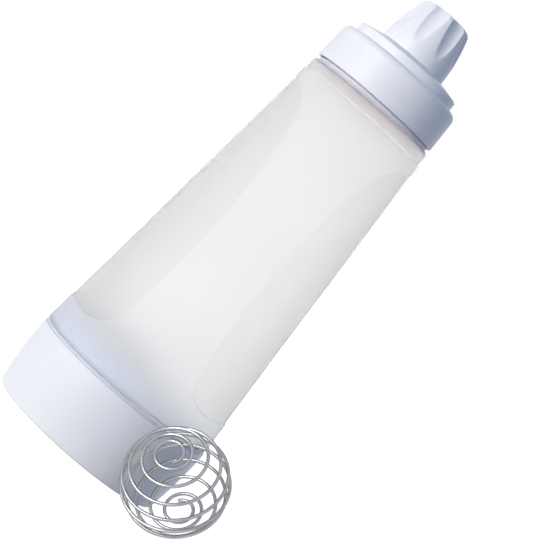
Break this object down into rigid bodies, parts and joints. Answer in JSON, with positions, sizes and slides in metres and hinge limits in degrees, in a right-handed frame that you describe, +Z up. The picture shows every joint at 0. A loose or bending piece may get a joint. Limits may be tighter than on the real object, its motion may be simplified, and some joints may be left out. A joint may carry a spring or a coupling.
{
  "type": "batter dispenser bottle",
  "caption": "Squeeze bottle for batter with a screw base, screw collar, soft nozzle under a fluted snap cap, and a loose wire whisk ball.",
  "frame": {"origin": "centre of the screw base's flat underside, on the surface that the bottle stands on", "axes": "+Z up the bottle's axis to the cap; -Y is the side that faces the viewer, with the plain strip between the grip panels; the grip panels face +X and -X"},
  "size_m": [0.1205, 0.1389, 0.2692],
  "materials": {
    "white_plastic": "satin moulded white",
    "frosted_plastic": "frosted, translucent, smoother on the grip panels",
    "clear_silicone": "clear soft silicone",
    "red_silicone": "matt red silicone",
    "steel_wire": "polished stainless wire"
  },
  "bodies": {
    "base_cap": {"base_cap": "white_plastic"},
    "base_gasket": {"base_gasket": "clear_silicone"},
    "bottle": {"bottle": "frosted_plastic"},
    "nozzle": {"nozzle": "red_silicone"},
    "collar": {"collar": "white_plastic"},
    "nozzle_cap": {"nozzle_cap": "white_plastic"},
    "whisk_ball": {"whisk_ball": "steel_wire"}
  },
  "joints": [
    {"name": "bottle_rise", "type": "slide", "parent": "base_cap", "child": "base_gasket", "axis": [0, 0, 1], "range_m": [0, 0.018]},
    {"name": "bottle_turn", "type": "hinge", "parent": "base_gasket", "child": "bottle", "pos_m": [0, 0, 0.0375], "axis": [0, 0, 1], "range_deg": [0, 540]},
    {"name": "collar_rise", "type": "slide", "parent": "bottle", "child": "nozzle", "axis": [0, 0, 1], "range_m": [0, 0.0175]},
    {"name": "collar_turn", "type": "hinge", "parent": "nozzle", "child": "collar", "pos_m": [0, 0, 0.2335], "axis": [0, 0, 1], "range_deg": [0, 630]},
    {"name": "cap_pull", "type": "slide", "parent": "collar", "child": "nozzle_cap", "axis": [0, 0, 1], "range_m": [0, 0.035]},
    {"name": "whisk_lift", "type": "slide", "parent": "base_cap", "child": "whisk_ball", "axis": [0, 0, 1], "range_m": [0, 0.12]}
  ],
  "couplings": [
    {"joint": "bottle_rise", "follows": "bottle_turn", "m_per_rad": 0.0019099},
    {"joint": "collar_rise", "follows": "collar_turn", "m_per_rad": 0.0015915}
  ]
}
